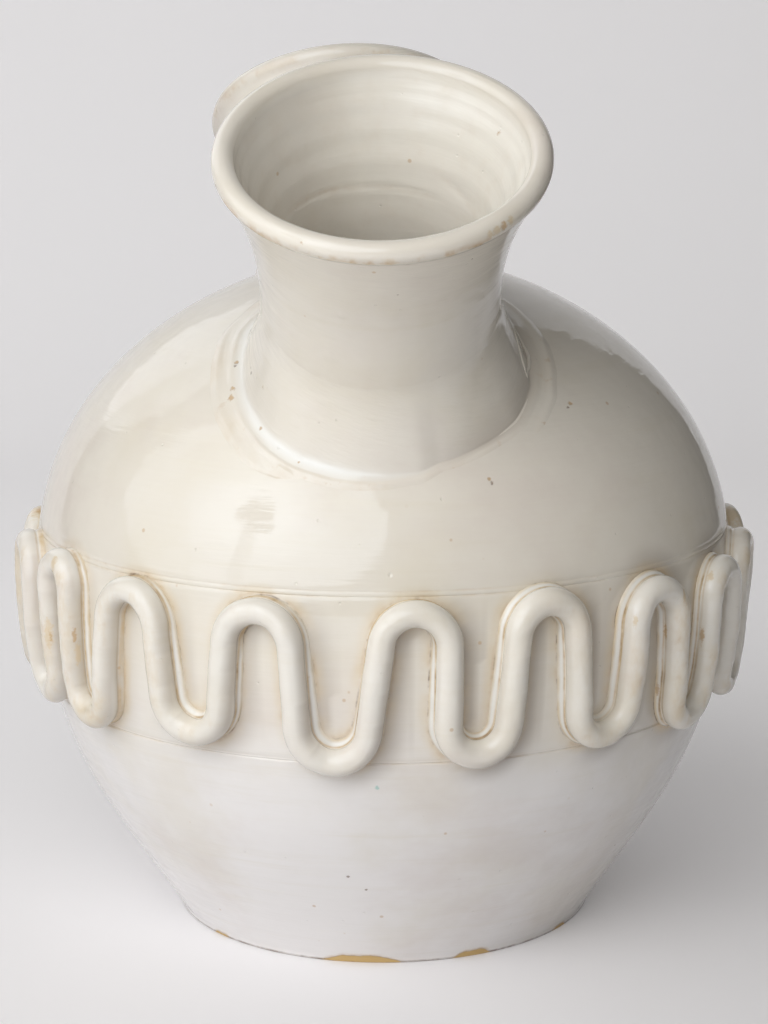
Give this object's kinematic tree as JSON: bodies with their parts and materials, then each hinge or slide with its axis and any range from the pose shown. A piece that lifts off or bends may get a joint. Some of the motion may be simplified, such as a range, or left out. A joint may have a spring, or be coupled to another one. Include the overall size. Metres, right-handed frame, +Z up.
{
  "type": "two-spout vase",
  "caption": "Round-bellied glazed earthenware vase with two trumpet spouts leaning apart on its dome and a clay rope laid in waves round its widest part.",
  "frame": {"origin": "on the table, under the middle of the round foot", "axes": "+Z up along the belly's axis; the front spout leans towards -Y and the rear spout towards +Y"},
  "size_m": [0.2453, 0.2954, 0.2849],
  "materials": {
    "body_glaze": "gloss",
    "spout_glaze": "gloss",
    "fillet_glaze": "gloss",
    "rope_glaze": "gloss"
  },
  "bodies": {
    "root": {"vase_body": "body_glaze", "vase_dome": "body_glaze", "front_spout": "spout_glaze", "rear_spout": "spout_glaze", "front_spout_fillet": "fillet_glaze", "rear_spout_fillet": "fillet_glaze", "wave_rope_1": "rope_glaze", "wave_rope_2": "rope_glaze", "wave_rope_3": "rope_glaze", "wave_rope_4": "rope_glaze", "wave_rope_5": "rope_glaze", "wave_rope_6": "rope_glaze"}
  },
  "joints": []
}
